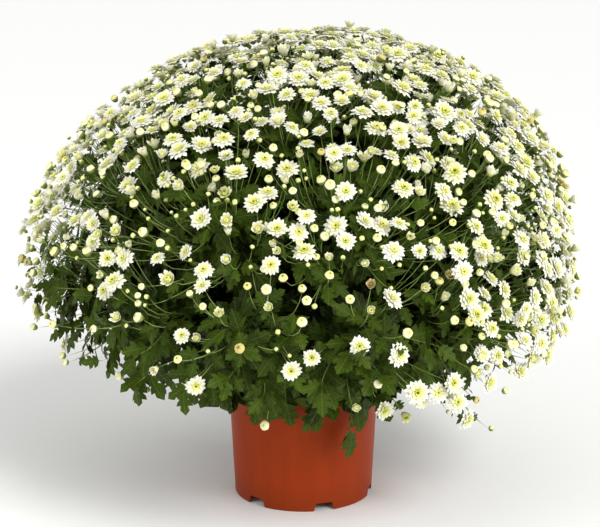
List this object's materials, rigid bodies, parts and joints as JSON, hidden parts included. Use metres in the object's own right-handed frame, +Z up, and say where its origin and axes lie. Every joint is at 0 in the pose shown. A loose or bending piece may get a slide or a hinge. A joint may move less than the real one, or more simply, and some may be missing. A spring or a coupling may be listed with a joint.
{
  "type": "pot chrysanthemum",
  "caption": "Broad dome of small white daisy blooms and lobed leaves on leafy stems, standing in a tapered plastic pot of soil.",
  "frame": {"origin": "middle of the pot's base, on the surface it stands on", "axes": "+Z up the pot's axis, -Y towards the barer side of the dome, +X to the right as seen from that side"},
  "size_m": [0.8303, 0.8159, 0.6952],
  "materials": {
    "pot_plastic": "satin",
    "potting_soil": "matte",
    "foliage": "matte",
    "petals": "matte"
  },
  "bodies": {
    "root": {"pot": "pot_plastic", "soil": "potting_soil", "leafy_stem_01": "foliage", "spray_01": "petals", "leafy_stem_02": "foliage", "spray_02": "petals", "leafy_stem_03": "foliage", "spray_03": "petals", "leafy_stem_04": "foliage", "spray_04": "petals", "leafy_stem_05": "foliage", "spray_05": "petals", "leafy_stem_06": "foliage", "spray_06": "petals", "leafy_stem_07": "foliage", "spray_07": "petals", "leafy_stem_08": "foliage", "spray_08": "petals", "leafy_stem_09": "foliage", "spray_09": "petals", "leafy_stem_10": "foliage", "spray_10": "petals", "leafy_stem_11": "foliage", "spray_11": "petals", "leafy_stem_12": "foliage", "spray_12": "petals", "leafy_stem_13": "foliage", "spray_13": "petals", "leafy_stem_14": "foliage", "spray_14": "petals", "leafy_stem_15": "foliage", "spray_15": "petals", "leafy_stem_16": "foliage", "spray_16": "petals", "leafy_stem_17": "foliage", "spray_17": "petals", "leafy_stem_18": "foliage", "spray_18": "petals", "leafy_stem_19": "foliage", "spray_19": "petals", "leafy_stem_20": "foliage", "spray_20": "petals", "leafy_stem_21": "foliage", "spray_21": "petals", "leafy_stem_22": "foliage", "spray_22": "petals", "leafy_stem_23": "foliage", "spray_23": "petals", "leafy_stem_24": "foliage", "spray_24": "petals", "leafy_stem_25": "foliage", "spray_25": "petals", "leafy_stem_26": "foliage", "spray_26": "petals", "leafy_stem_27": "foliage", "spray_27": "petals", "leafy_stem_28": "foliage", "spray_28": "petals"}
  },
  "joints": []
}
